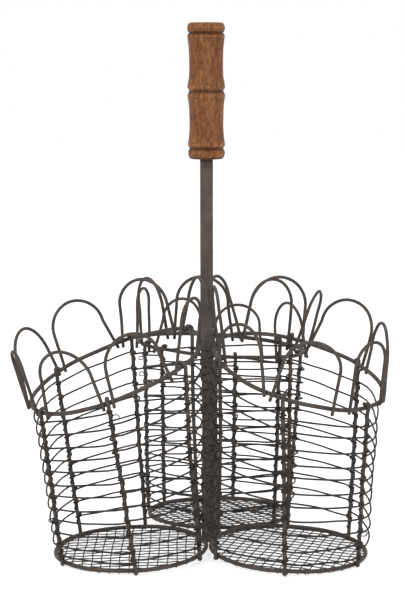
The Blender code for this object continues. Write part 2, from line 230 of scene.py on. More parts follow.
# Lumps of weld
LUMP_STEPS = 7
LUMP_END_SHARE = 0.93
LUMP_UNEVEN = 0.25
LUMP_FINENESS = 900.0
WELD_RADIUS = 0.00155
WELD_LENGTH = 0.0036
WELD_TILT = 0.3

# The winding: its courses, and how loosely and how far open it goes round an upright
WEAVE_START_SHARE = 0.05
WEAVE_END_SHARE = 0.965
COURSE_UNEVEN = 0.006
COURSE_UNEVEN_STEP = 0.7
SPAN_STEPS = 9
SPAN_POWER = 0.55
WRAP_STEPS = 14
WRAP_RISE_SHARE = 1.1
WRAP_LOOSE = 0.9
WRAP_LOOSE_FINENESS = 70.0
WRAP_LOOSE_MEAN = 0.35
WRAP_OPEN = 0.0028

# Wire twisted up the uprights, and its curled ends
TWIST_STEPS = 12
TWIST_SINK = 0.0003
TWIST_SLACK = 0.12
TWIST_SLACK_STEP = 0.45
TWIST_SLACK_SPREAD = 1000
TWIST_START_STEP = 0.37
CURL_TURNS = 0.85
CURL_HEIGHT_SHARE = 0.75

# Wire cloth of the floors
CLOTH_PITCH = 0.0069
CLOTH_WIRE = 0.0009
CRIMP_SHARE = 0.22
CLOTH_SINK = 0.0001
CLOTH_END = 0.0006
CLOTH_END_SHARE = 0.98
CLOTH_STEP_DOWN = 0.0002
CLOTH_INSET_SHARE = 0.75
CLOTH_SMOOTH_STEPS = 3

# Shares of the handle's length that get painted shade in its grooves, and those whose turned edges get a
# painted highlight
PAINTED_SHADE_SHARES = ((0.065, 0.091), (0.112, 0.119), (0.492, 0.515), (0.91, 0.936), (0.988, 1.0))
PAINTED_HIGHLIGHT_SHARES = (0.037, 0.108, 0.474, 0.539, 0.893, 0.962)
PAINTED_SHADE_SOFT = 0.005
EDGE_SOFT = 0.008
PLAIN_TONE = 0.5
PAINTED_SHADE_TONE = 0.4
PAINTED_HIGHLIGHT_TONE = 0.5

# Binding wire round the bar: turns, where the first starts, which way it winds, and whether it
# takes in the posts
TIE_WINDINGS = ((11.5, 0.1, 1, False), (11.5, 0.6, -1, False), (2.3, 0.8, -1, True))
TIE_STEPS = 36
TIE_UNEVEN = 0.08
TIE_POST_SIDES = 12

# Small open curls of wire end beside an upright: its index, the share of the wall's height,
# the way it points in degrees from straight out, and its radius
CURLS = {
    "back": ((2, 0.93, 40, 0.002), (2, 0.83, 60, 0.0023), (2, 0.74, 50, 0.002), (4, 0.6, -60, 0.002),
             (0, 0.5, 30, 0.0022)),
    "left": ((5, 0.57, -50, 0.0023), (5, 0.49, -60, 0.002), (1, 0.93, 80, 0.0026), (0, 0.3, -30, 0.002),
             (4, 0.7, 70, 0.002)),
    "right": ((0, 0.2, 60, 0.0024), (1, 0.86, 20, 0.0024), (5, 0.62, 80, 0.0022), (5, 0.3, -70, 0.002),
              (2, 0.5, 60, 0.002)),
}

# Colours along the noise of each surface, from its darkest spots to its lightest
IRON_STOPS = (
    (0.3, (0.062, 0.048, 0.042)), (0.45, (0.084, 0.069, 0.061)),
    (0.6, (0.1, 0.083, 0.073)), (0.76, (0.13, 0.106, 0.091)),
)
BAR_IRON_STOPS = (
    (0.3, (0.074, 0.057, 0.05)), (0.45, (0.1, 0.082, 0.072)),
    (0.6, (0.12, 0.099, 0.087)), (0.76, (0.156, 0.127, 0.109)),
)
# The thin wire's iron is a darker copy of the aged iron: the extra darkness is painted shade
SHADED_THIN_IRON_STOPS = (
    (0.3, (0.017, 0.014, 0.012)), (0.48, (0.034, 0.029, 0.026)),
    (0.62, (0.052, 0.044, 0.039)), (0.78, (0.08, 0.066, 0.057)),
)
PIT_STOPS = ((0.32, (0.66, 0.63, 0.6)), (0.55, (1.0, 1.0, 1.0)))
WOOD_STOPS = (
    (0.33, (0.14, 0.05, 0.018)), (0.44, (0.27, 0.102, 0.037)),
    (0.54, (0.42, 0.172, 0.062)), (0.65, (0.66, 0.31, 0.125)),
)
PORE_STOPS = ((0.38, (0.42, 0.36, 0.32)), (0.5, (1.0, 1.0, 1.0)))
PATCH_STOPS = ((0.36, (0.74, 0.69, 0.64)), (0.6, (1.0, 1.0, 1.0)))
# Painted shade in the handle's grooves up to painted highlights on its edges, along the stored tone
PAINTED_LIGHT_STOPS = ((0.0, (0.2, 0.16, 0.14)), (0.5, (0.78, 0.77, 0.76)), (1.0, (1.0, 1.0, 0.98)))

# Noise of each surface: how fine, how many octaves, how rough and how distorted
IRON_BLOTCHES = (95.0, 5.0, 0.6, 0.0)
IRON_PITS = (1300.0, 3.0, 0.55, 0.0)
WOOD_STREAKS = (520.0, 9.0, 0.76, 0.8)
WOOD_PORES = (2300.0, 3.0, 0.55, 0.0)
WOOD_PATCHES = (110.0, 4.0, 0.55, 0.0)

# Scale of the wood's noises across and along the handle, where less than 1 draws them out
STREAK_STRETCH = (1.0, 1.0, 0.24)
PORE_STRETCH = (1.0, 1.0, 0.3)
PATCH_STRETCH = (1.0, 1.0, 0.35)

# How strongly each layer darkens what is under it
PIT_FACTOR = 0.8
PORE_FACTOR = 0.8
PATCH_FACTOR = 0.85
PAINTED_LIGHT_FACTOR = 1.0

# Roughness over the middle of the noise, and the gloss and relief of each surface
ROUGH_NOISE = (0.3, 0.7)
IRON_ROUGHNESS = (0.72, 0.55)
WOOD_ROUGHNESS = (0.62, 0.46)
IRON_METALLIC = 0.1
IRON_SPECULAR = 0.25
WOOD_SPECULAR = 0.22
IRON_BUMP = (0.45, 0.00022)
WOOD_BUMP = (0.4, 0.00025)

# The pale floor and the studio round it
FLOOR_HALF = 6.0
FLOOR_COLOUR = (0.86, 0.86, 0.86, 1.0)
FLOOR_ROUGHNESS = 0.9
FLOOR_SPECULAR = 0.1
FLOOR_GLOW = 0.62
WHITE = (1.0, 1.0, 1.0, 1.0)
WORLD_STRENGTH = (0.5, 1.0)

# Lamps: name, place, what each is aimed at, its width and its power
LAMPS = (
    ("key_light", (-0.9, -1.3, 1.5), (0, 0, 0.18), 0.9, 14.0),
    ("fill_light", (1.2, -1.0, 0.8), (0, 0, 0.18), 1.2, 5.0),
    ("top_light", (0.1, 0.5, 1.6), (0, 0, 0.15), 1.0, 6.0),
)

# The camera: its place, how far it looks down in radians, its lens and where it starts to see
CAMERA_PLACE = (-0.00397, -1.32, 0.3671)
CAMERA_DOWN = 0.1353
CAMERA_LENS = 105.69
CAMERA_SENSOR = 36.0
CAMERA_CLIP = 0.05


def new_material(name):
    mat = bpy.data.materials.new(name)
    mat.use_nodes = True
    return mat, mat.node_tree, mat.node_tree.nodes["Principled BSDF"]


def noise_node(tree, coords, settings):
    node = tree.nodes.new("ShaderNodeTexNoise")
    for name, value in zip(("Scale", "Detail", "Roughness", "Distortion"), settings):
        node.inputs[name].default_value = value
    tree.links.new(coords, node.inputs["Vector"])
    return node.outputs["Fac"]


def ramp_node(tree, source, stops):
    node = tree.nodes.new("ShaderNodeValToRGB")
    ramp = node.color_ramp
    while len(ramp.elements) < len(stops):
        ramp.elements.new(0.5)
    for element, (place, colour) in zip(ramp.elements, stops):
        element.position = place
        element.color = (*colour, 1.0)
    tree.links.new(source, node.inputs["Fac"])
    return node.outputs["Color"]


def multiplied(tree, base, layer, factor):
    """A colour darkened by a layer over it."""
    mix = tree.nodes.new("ShaderNodeMix")
    mix.data_type = "RGBA"
    mix.blend_type = "MULTIPLY"
    mix.inputs["Factor"].default_value = factor
    tree.links.new(base, mix.inputs["A"])
    tree.links.new(layer, mix.inputs["B"])
    return mix.outputs["Result"]


def stretched(tree, coords, scale):
    node = tree.nodes.new("ShaderNodeMapping")
    node.inputs["Scale"].default_value = scale
    tree.links.new(coords, node.inputs["Vector"])
    return node.outputs["Vector"]


def roughened(tree, shader, source, values):
    """Roughness that follows a noise."""
    node = tree.nodes.new("ShaderNodeMapRange")
    node.inputs["From Min"].default_value, node.inputs["From Max"].default_value = ROUGH_NOISE
    node.inputs["To Min"].default_value, node.inputs["To Max"].default_value = values
    tree.links.new(source, node.inputs["Value"])
    tree.links.new(node.outputs["Result"], shader.inputs["Roughness"])


def bumped(tree, shader, height, values):
    """Fine relief that follows a noise: its strength and its depth."""
    bump = tree.nodes.new("ShaderNodeBump")
    bump.inputs["Strength"].default_value, bump.inputs["Distance"].default_value = values
    tree.links.new(height, bump.inputs["Height"])
    tree.links.new(bump.outputs["Normal"], shader.inputs["Normal"])


def math_node(tree, operation, first, second):
    node = tree.nodes.new("ShaderNodeMath")
    node.operation = operation
    tree.links.new(first, node.inputs[0])
    tree.links.new(second, node.inputs[1])
    return node.outputs["Value"]


def iron(name, stops):
    """Aged dark iron: mottled brown-grey, finely pitted, duller where it is darker."""
    mat, tree, shader = new_material(name)
    coords = tree.nodes.new("ShaderNodeTexCoord").outputs["Object"]
    blotches = noise_node(tree, coords, IRON_BLOTCHES)
    pits = noise_node(tree, coords, IRON_PITS)
    speckle = ramp_node(tree, pits, PIT_STOPS)
    colour = multiplied(tree, ramp_node(tree, blotches, stops), speckle, PIT_FACTOR)
    tree.links.new(colour, shader.inputs["Base Color"])
    roughened(tree, shader, blotches, IRON_ROUGHNESS)
    shader.inputs["Metallic"].default_value = IRON_METALLIC
    shader.inputs["Specular IOR Level"].default_value = IRON_SPECULAR
    bumped(tree, shader, pits, IRON_BUMP)
    return mat


def turned_wood():
    """Stained wood: streaks and open pores along the handle, with painted shade in the grooves and painted
    highlights on the edges.
    """
    mat, tree, shader = new_material("stained_turned_wood")
    coords = tree.nodes.new("ShaderNodeTexCoord").outputs["Object"]
    streaks = noise_node(tree, stretched(tree, coords, STREAK_STRETCH), WOOD_STREAKS)
    pores = noise_node(tree, stretched(tree, coords, PORE_STRETCH), WOOD_PORES)
    patches = noise_node(tree, stretched(tree, coords, PATCH_STRETCH), WOOD_PATCHES)
    # Tone of painted shade and painted highlight stored on the handle's points
    wear = tree.nodes.new("ShaderNodeAttribute")
    wear.attribute_name = "wear"
    colour = ramp_node(tree, streaks, WOOD_STOPS)
    for source, stops, factor in ((pores, PORE_STOPS, PORE_FACTOR), (patches, PATCH_STOPS, PATCH_FACTOR),
                                  (wear.outputs["Fac"], PAINTED_LIGHT_STOPS, PAINTED_LIGHT_FACTOR)):
        colour = multiplied(tree, colour, ramp_node(tree, source, stops), factor)
    tree.links.new(colour, shader.inputs["Base Color"])
    shader.inputs["Specular IOR Level"].default_value = WOOD_SPECULAR
    roughened(tree, shader, streaks, WOOD_ROUGHNESS)
    bumped(tree, shader, math_node(tree, "ADD", streaks, pores), WOOD_BUMP)
    return mat


def looked_at(tree):
    """1 where the camera sees a surface, itself or in a reflection or through glass, and else 0."""
    path = tree.nodes.new("ShaderNodeLightPath")
    seen = math_node(tree, "MAXIMUM", path.outputs["Is Camera Ray"], path.outputs["Is Glossy Ray"])
    return math_node(tree, "MAXIMUM", seen, path.outputs["Is Transmission Ray"])


def floor_material():
    """Pale floor that the camera and reflections see as white, with the object's shadow kept."""
    mat, tree, shader = new_material("pale_floor")
    shader.inputs["Base Color"].default_value = FLOOR_COLOUR
    shader.inputs["Roughness"].default_value = FLOOR_ROUGHNESS
    shader.inputs["Specular IOR Level"].default_value = FLOOR_SPECULAR
    shader.inputs["Emission Color"].default_value = WHITE
    glow = tree.nodes.new("ShaderNodeMath")
    glow.operation = "MULTIPLY"
    glow.inputs[1].default_value = FLOOR_GLOW
    tree.links.new(looked_at(tree), glow.inputs[0])
    tree.links.new(glow.outputs["Value"], shader.inputs["Emission Strength"])
    return mat


IRON = iron("aged_iron", IRON_STOPS)
# Darker copy of the aged iron for the thin wires, with painted shade in its colour
SHADED_THIN_IRON = iron("thin_iron_wire", SHADED_THIN_IRON_STOPS)
BAR_IRON = iron("aged_bar_iron", BAR_IRON_STOPS)
WOOD = turned_wood()


def wander(point, size, amount):
    """A small smooth shift, so that no wire is machine straight."""
    spot = point / size
    return Vector([noise.noise(spot + offset) for offset in WANDER_OFFSETS]) * amount


def tube_mesh(paths, sides, closed=False):
    """One closed round tube for each path, a list of (point, radius)."""
    verts, faces = [], []
    for path in paths:
        points = [p for p, _ in path]
        radii = [r for _, r in path]
        count = len(points)
        tangents = []
        for i in range(count):
            before = points[i - 1] if i or closed else points[0]
            after = points[(i + 1) % count] if i + 1 < count or closed else points[-1]
            tangents.append((after - before).normalized())
        side = tangents[0].orthogonal().normalized()
        frames = []
        for i, tangent in enumerate(tangents):
            side = (side - tangent * side.dot(tangent)).normalized()
            frames.append((side.copy(), tangent.cross(side)))
        twist = 0.0
        if closed:
            last, first = frames[-1][0], frames[0]
            last = (last - tangents[0] * last.dot(tangents[0])).normalized()
            twist = -math.atan2(last.dot(first[1]), last.dot(first[0]))
        start = len(verts)
        for i, (across, other) in enumerate(frames):
            spin = twist * i / count
            for k in range(sides):
                angle = math.tau * k / sides + spin
                verts.append(points[i] + (across * math.cos(angle) + other * math.sin(angle)) * radii[i])
        rings = count if closed else count - 1
        for i in range(rings):
            a, b = start + i * sides, start + (i + 1) % count * sides
            for k in range(sides):
                n = (k + 1) % sides
                faces.append((a + k, a + n, b + n, b + k))
        if not closed:
            for end, sign in ((0, -1), (count - 1, 1)):
                tip = len(verts)
                base = start + end * sides
                outward = tangents[end] * radii[end] * sign
                middle = points[end] + outward * CAP_INSET_SHARE
                for k in range(sides):
                    verts.append(middle + (verts[base + k] - points[end]) * CAP_RIM_SHARE)
                verts.append(points[end] + outward * CAP_TIP_SHARE)
                for k in range(sides):
                    n = (k + 1) % sides
                    quad = (base + k, base + n, tip + n, tip + k)
                    cap = (tip + k, tip + n, tip + sides)
                    faces.append(quad if sign > 0 else quad[::-1])
                    faces.append(cap if sign > 0 else cap[::-1])
    return verts, faces


def piece(name, verts, faces, material, slot, *nodes):
    """A smooth mesh piece that rides on the part and stands for the CAD nodes it names."""
    mesh = bpy.data.meshes.new(name)
    mesh.from_pydata(verts, [], faces)
    mesh.materials.append(material)
    mesh.shade_smooth()
    obj = bpy.data.objects.new(name, mesh)
    bpy.context.scene.collection.objects.link(obj)
    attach(obj, "root")
    if nodes:
        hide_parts(*nodes)
    return obj


def wires(name, paths, sides, material, slot, *nodes, closed=False):
    return piece(name, *tube_mesh(paths, sides, closed), material, slot, *nodes)


def drawn(points, diameter, uneven):
    """Gives each point a radius that varies a little along the wire, and keeps it above the floor."""
    path = []
    for p in points:
        radius = diameter / 2 * (1 + uneven * noise.noise(p * UNEVEN_FINENESS))
        path.append((Vector((p.x, p.y, max(p.z, radius))), radius))
    return path


def smooth_line(points, steps):
    """A curve through all the points."""
    line = []
    for i in range(len(points) - 1):
        a = points[max(i - 1, 0)]
        b, c = points[i], points[i + 1]
        d = points[min(i + 2, len(points) - 1)]
        for k in range(steps):
            t = k / steps
            line.append(
                0.5 * ((2 * b) + (c - a) * t + (2 * a - 5 * b + 4 * c - d) * t * t
                       + (3 * b - a - 3 * c + d) * t ** 3)
            )
    line.append(points[-1])
    return line


def rim_side(middle):
    """1 for a hairpin that stands outside its rim, or -1 for one inside it, near the bar."""
    return -1 if math.cos(middle) < INSIDE_COSINE else 1


def wall_share(part):
    """Share of the wall's height at a part of the way up the winding."""
    return WEAVE_START_SHARE + (WEAVE_END_SHARE - WEAVE_START_SHARE) * part


class Basket:
    """The two rings that every wire of one basket follows, found as in the CAD part."""

    def __init__(self, name, shape):
        self.name = name
        self.shape = shape
        self.base_radius = BASE_RADIUS * shape["base_share"]
        self.rim_radius = RIM_RADIUS * shape["rim_share"]
        dip = RIM_DIP * shape["dip_share"]
        spin = Matrix.Rotation(math.radians(shape["direction"]), 4, "Z")
        half_sector = math.radians(60) * SECTOR_SHARE
        room = RING_WIRE / 2 + CLEARANCE
        beside = (self.base_radius + room) / math.sin(half_sector)
        bundle = LASHING_RADIUS + LASHING_WIRE / 2 + CLEARANCE + UPRIGHT_WIRE / 2
        behind = self.base_radius + self.hook(UPRIGHT_WIRE) + bundle
        base_reach = max(beside, behind) * shape["reach_share"]
        foot_depth = self.hook(UPRIGHT_WIRE) * math.sin(BASE_LEAN - FOOT_HOOK_ANGLE)
        foot_depth += UPRIGHT_WIRE / 2 * math.sin(BASE_LEAN - FOOT_HOOK_ANGLE / 2)
        base_height = foot_depth + self.base_radius * math.sin(BASE_LEAN)
        self.base = spin @ Matrix.Translation((base_reach, 0, base_height))
        self.base = self.base @ Matrix.Rotation(BASE_LEAN, 4, "Y")
        self.base = Matrix.Translation((shape["base_shift"], 0, 0)) @ self.base
        across = self.rim_radius * math.cos(dip) * math.cos(math.radians(30))
        along = self.rim_radius * math.sin(math.radians(30))
        rim_reach = (math.hypot(across, along) + room) / math.sin(half_sector) + RIM_STEP_OUT
        rim_reach *= shape["reach_share"]
        inner_height = base_height + WALL_HEIGHT * shape["height_share"]
        rim_height = inner_height - self.rim_radius * math.sin(dip)
        turn = Matrix.Rotation(DIP_TURN, 4, "Z")
        self.rim = spin @ Matrix.Translation((rim_reach, 0, rim_height))
        self.rim = self.rim @ turn @ Matrix.Rotation(dip, 4, "Y") @ turn.inverted()
        middle = Matrix.Translation(self.rim.to_translation())
        squeeze = Matrix.Scale(1 - shape["rim_squeeze"], 4, Vector((1, 0, 0)))
        sink = Matrix.Translation(-UP * shape["rim_drop"])
        tilt = Matrix.Rotation(math.radians(shape["rim_tilt"]), 4, "Y")
        # The hairpins' tips stay where the part's own rim puts them
        self.loop_rim = self.rim
        self.rim = middle @ sink @ tilt @ squeeze @ middle.inverted() @ self.rim
        self.base_radius += shape["base_grow"]

    @staticmethod
    def hook(diameter):
        """From the middle of a ring's wire to the middle of a wire that hooks round it."""
        return RING_WIRE / 2 + CLEARANCE + diameter / 2

    def around(self, ring, radius, degrees):
        """Centre of a ring's wire at an angle, with the way out and the ring's normal."""
        angle = math.radians(degrees)
        out = Vector((math.cos(angle), math.sin(angle), 0))
        turned = ring.to_3x3()
        return ring @ (out * radius), (turned @ out).normalized(), (turned @ UP).normalized()

    def hoop(self, ring, radius, bend):
        """A heavy ring, slightly out of true."""
        points = []
        for k in range(HOOP_STEPS):
            p, _, _ = self.around(ring, radius, 360 * k / HOOP_STEPS)
            points.append(p + wander(p, HOOP_BEND_SIZE, bend))
        return drawn(points, RING_WIRE * RING_SWELL, RING_UNEVEN)

    def foot_ring(self, index):
        return self.around(self.base, self.base_radius, self.shape["feet"][index])

    def top_ring(self, index):
        return self.around(self.rim, self.rim_radius, self.shape["tops"][index])

    def ends(self, index):
        """Where an upright's straight part starts above its foot and ends below the rim."""
        reach = self.hook(UPRIGHT_WIRE)
        low, out, _ = self.foot_ring(index)
        start = low + out * reach
        high, out, normal = self.top_ring(index)
        end = high + (out * math.cos(RIM_HOOK_START) + normal * math.sin(RIM_HOOK_START)) * reach
        return start, end

    def stem(self, index, share):
        """Centre of an upright at a share of its height, with its slight bends."""
        start, end = self.ends(index)
        p = start.lerp(end, share)
        bow = Vector((POST_BOWS.get((self.name, index), 0), 0, 0))
        return p + (wander(p, POST_BEND_SIZE, POST_BEND) + bow) * math.sin(math.pi * share)

    def facing(self, index, share):
        """Directions at an upright: along it, out of the basket, and on to the next one."""
        start, end = self.ends(index)
        axis = (end - start).normalized()
        _, low_out, _ = self.foot_ring(index)
        _, high_out, _ = self.top_ring(index)
        out = low_out.lerp(high_out, share)
        out = (out - axis * out.dot(axis)).normalized()
        return axis, out, axis.cross(out)

    def post(self, index):
        """An upright: its foot hooks under the base ring and its top folds over the rim."""
        reach = self.hook(UPRIGHT_WIRE)
        points = []
        low, out, normal = self.foot_ring(index)
        for k in range(FOOT_STEPS + 1):
            angle = FOOT_ANGLE * (1 - k / FOOT_STEPS)
            points.append(low + (out * math.cos(angle) + normal * math.sin(angle)) * reach)
        points += [self.stem(index, k / STEM_STEPS) for k in range(1, STEM_STEPS)]
        high, out, normal = self.top_ring(index)
        for k in range(HOOK_STEPS + 1):
            angle = RIM_HOOK_START + (RIM_HOOK_END - RIM_HOOK_START) * k / HOOK_STEPS
            points.append(high + (out * math.cos(angle) + normal * math.sin(angle)) * reach)
        return drawn(points, UPRIGHT_WIRE * POST_SWELL, POST_UNEVEN)

    def foot_knob(self, index):
        """The lump that closes an upright under the base ring."""
        low, out, normal = self.foot_ring(index)
        spot = out * math.cos(FOOT_ANGLE) + normal * math.sin(FOOT_ANGLE)
        return bead(low + spot * self.hook(UPRIGHT_WIRE), normal, FOOT_KNOB_RADIUS, FOOT_KNOB_LENGTH)

    def pin(self, index):
        """A hairpin: two straight legs that stand on the rim, with a round arch between them."""
        first, last = self.shape["loops"][index]
        last += 360 if last < first else 0
        middle = math.radians((first + last) / 2)
        side = rim_side(middle) * self.hook(LOOP_WIRE)
        feet, stands = [], []
        for ring, places in ((self.rim, feet), (self.loop_rim, stands)):
            for degrees in (first, last):
                point, out, normal = self.around(ring, self.rim_radius, degrees)
                level = normal.cross(out).cross(UP).normalized()
                places.append(point + level * side)
        half = (stands[1] - stands[0]) / 2
        centre = (stands[0] + stands[1]) / 2
        spin = Matrix.Rotation(math.radians(self.shape["direction"]), 3, "Z")
        outward = spin @ Vector((math.cos(middle), math.sin(middle), 0))
        downhill = spin @ Matrix.Rotation(DIP_TURN, 3, "Z") @ Vector((1, 0, 0))
        splay = LOOP_SPLAY * self.shape["splay_share"] * (1 + math.cos(middle)) / 2
        lean = outward * splay + downhill * LOOP_SWAY * self.shape["sway_share"]
        lean += Vector((1, 0, 0)) * LOOP_LEAN * self.shape["loop_lean_shares"][index]
        tip = centre + UP * LOOP_HEIGHT * self.shape["loop_height_shares"][index] + lean
        along = Vector((half.x, half.y, half.z * ARCH_TILT_SHARE)).normalized()
        rise = ((tip - centre) - along * (tip - centre).dot(along)).normalized()
        radius = half.length * ARCH_SHARE
        arch = tip - rise * radius
        bow = []
        for step in range(ARCH_STEPS + 1):
            turn = math.pi * step / ARCH_STEPS
            bow.append(arch + (rise * math.sin(turn) - along * math.cos(turn)) * radius)
        ends = []
        for leg, (foot, top) in enumerate(((feet[0], bow[0]), (feet[1], bow[-1]))):
            stub = LOOP_STUB * STUB_SHARE * SHORT_STUBS.get((self.name, index, leg), 1)
            end = foot - (top - foot).normalized() * stub
            ends.append([end] + [foot.lerp(top, k / LEG_STEPS) for k in range(LEG_STEPS)])
        points = ends[0] + bow + ends[1][::-1]
        bent = [p + wander(p, LEG_BEND_SIZE, LEG_BEND) for p in points]
        return drawn(bent, LOOP_WIRE * LOOP_SWELL, LOOP_UNEVEN)

    def wrap(self, index, share):
        """One turn of the thin wire round an upright, from its outside and back to it."""
        here = self.stem(index, share)
        axis, out, ahead = self.facing(index, share)
        around_post = (UPRIGHT_WIRE + WEAVE_WIRE) / 2
        ahead *= self.shape["way"]
        loose = WRAP_LOOSE * max(0.0, noise.noise(here * WRAP_LOOSE_FINENESS) + WRAP_LOOSE_MEAN)
        if index == BAR_SIDE and self.name != "back":
            loose = 0.0
        points = []
        for k in range(WRAP_STEPS + 1):
            part = k / WRAP_STEPS
            turn = math.tau * part
            opening = math.cos(math.pi * max(0.0, 2 * part - 1))
            lift = WEAVE_WIRE * WRAP_RISE_SHARE * (part - 0.5) - WRAP_OPEN * loose * opening
            size = around_post * (1 + loose * max(0.0, -math.sin(turn)))
            points.append(here + axis * lift + (out * math.cos(turn) + ahead * math.sin(turn)) * size)
        return points

    def winding(self):
        """One thin wire wound up the wall, taken once round each upright that it meets."""
        stops = round(self.shape["turns"] * POSTS)
        points = []
        for stop in range(stops + 1):
            place = Vector((stop * COURSE_UNEVEN_STEP, self.shape["direction"], 0))
            share = wall_share(stop / stops) + COURSE_UNEVEN * noise.noise(place)
            post = stop * self.shape["way"] % POSTS
            turned = self.wrap(post, share)
            out = self.facing(post, share)[1]
            if points:
                start, end = points[-1], turned[0]
                swell = (out + last_out).normalized() * (end - start).length * self.shape["bow_share"]
                for k in range(1, SPAN_STEPS + 1):
                    part = k / (SPAN_STEPS + 1)
                    mid = math.sin(math.pi * part) ** SPAN_POWER
                    p = start.lerp(end, part) + swell * mid
                    points.append(p + wander(p, COURSE_BEND_SIZE, COURSE_BEND) * mid)
            points += turned
            last_out = out
        return drawn(points, WEAVE_WIRE * WEAVE_SWELL, WEAVE_UNEVEN)

    def twist(self, index):
        """Thin wire twisted up an upright, one turn for each course of the winding."""
        steps = round(self.shape["turns"] * TWIST_STEPS)
        radius = (UPRIGHT_WIRE * POST_SWELL + WEAVE_WIRE) / 2 - TWIST_SINK
        points = []
        for k in range(steps + 1):
            share = wall_share(k / steps)
            _, out, ahead = self.facing(index, share)
            turn = math.tau * (k / TWIST_STEPS + index * TWIST_START_STEP)
            place = Vector((k * TWIST_SLACK_STEP, index, self.base_radius * TWIST_SLACK_SPREAD))
            size = radius * (1 + TWIST_SLACK * noise.noise(place))
            points.append(self.stem(index, share) + (out * math.cos(turn) + ahead * math.sin(turn)) * size)
        return drawn(points, WEAVE_WIRE * TWIST_SWELL, TWIST_UNEVEN)

    def curl(self, index, share, turn, size):
        """A wire end that stands off an upright in a small open ring."""
        here = self.stem(index, share)
        axis, out, ahead = self.facing(index, share)
        way = out * math.cos(math.radians(turn)) + ahead * math.sin(math.radians(turn))
        middle = here + way * (UPRIGHT_WIRE / 2 + size)
        points = []
        for k in range(WRAP_STEPS + 1):
            angle = math.tau * CURL_TURNS * k / WRAP_STEPS
            ring = axis * math.sin(angle) * CURL_HEIGHT_SHARE - way * math.cos(angle)
            points.append(middle + ring * size)
        return drawn(points, WEAVE_WIRE, TWIST_UNEVEN)

    def cloth(self):
        """Square woven wire cloth, its ends turned under the base ring."""
        spin = Matrix.Rotation(math.radians(self.shape["mesh_turn"]), 4, "Z")
        place = self.base @ spin
        radius = self.base_radius
        under = (RING_WIRE + CLOTH_WIRE) / 2 - CLOTH_SINK
        rows = int(radius / CLOTH_PITCH)
        paths = []
        for family in (0, 1):
            for row in range(-rows, rows + 1):
                off = (row + 0.5 * (family == 0)) * CLOTH_PITCH
                if abs(off) > radius - RING_WIRE:
                    continue
                half = math.sqrt(radius ** 2 - off ** 2)
                inside = half - RING_WIRE * CLOTH_INSET_SHARE
                ends = ((half, -under), (half - CLOTH_END, -under * CLOTH_END_SHARE),
                        (inside + CLOTH_STEP_DOWN, -under / 2))
                line = [(-at, height) for at, height in ends]
                phase = row % 2 + family
                first = math.ceil(-inside / (CLOTH_PITCH / 2)) + 1
                last = math.floor(inside / (CLOTH_PITCH / 2)) - 1
                for k in range(first, last + 1):
                    at = k * CLOTH_PITCH / 2
                    shift = 0.5 * (family == 1)
                    wave = math.cos(math.pi * (at / CLOTH_PITCH - shift + phase))
                    line.append((at, CLOTH_WIRE * CRIMP_SHARE * wave))
                line += ends[::-1]
                points = []
                for at, height in line:
                    along, across = (at, off) if family == 0 else (off, at)
                    p = place @ Vector((along, across, height))
                    drift = wander(p, CLOTH_BEND_SIZE, CLOTH_BEND)
                    drift.z *= CLOTH_BEND_RISE_SHARE
                    points.append(p + drift)
                paths.append(drawn(smooth_line(points, CLOTH_SMOOTH_STEPS), CLOTH_WIRE, CLOTH_UNEVEN))
        return paths


def bead(centre, axis, radius, length):
    """A small lump: a short fat tube with rounded ends."""
    path = []
    for k in range(LUMP_STEPS):
        t = k / (LUMP_STEPS - 1) * 2 - 1
        p = centre + axis * length * t * 0.5
        swell = math.sqrt(1 - (LUMP_END_SHARE * t) ** 2)
        lump = 1 + LUMP_UNEVEN * noise.noise(p * LUMP_FINENESS)
        size = radius * swell * lump
        p.z = max(p.z, size)
        path.append((p, size))
    return path


def welds(basket):
    """Weld lumps where each hairpin's two feet meet the rim."""
    paths = []
    for first, last in basket.shape["loops"]:
        span = (last - first) % 360
        side = rim_side(math.radians(first + span / 2))
        for degrees in (first, last):
            point, out, normal = basket.around(basket.rim, basket.rim_radius, degrees)
            tangent = normal.cross(out)
            level = tangent.cross(UP).normalized()
            centre = point + level * side * basket.hook(LOOP_WIRE) * 0.5
            axis = (tangent + normal * WELD_TILT).normalized()
            paths.append(bead(centre, axis, WELD_RADIUS, WELD_LENGTH))
    return paths


def bar_bend(height):
    """How far the bar and its handle stand to the side at a height, as they are not quite straight."""
    for (low, start), (high, end) in zip(BAR_BENDS, BAR_BENDS[1:]):
        if height <= high:
            break
    share = min(1.0, (height - low) / (high - low))
    return Vector((start + (end - start) * share * share * (3 - 2 * share), 0, 0))


def painted_light_tone(down):
    """Painted light on the handle at a share of its length: 0 is painted shade in a groove, 1 a painted
    highlight on an edge.
    """
    tone = PLAIN_TONE
    for start, end in PAINTED_SHADE_SHARES:
        inside = min(down - start, end - down) / PAINTED_SHADE_SOFT
        tone -= PAINTED_SHADE_TONE * min(1.0, max(0.0, inside + 0.5))
    for place in PAINTED_HIGHLIGHT_SHARES:
        tone += PAINTED_HIGHLIGHT_TONE * math.exp(-((down - place) / EDGE_SOFT) ** 2)
    return min(1.0, max(0.0, tone))


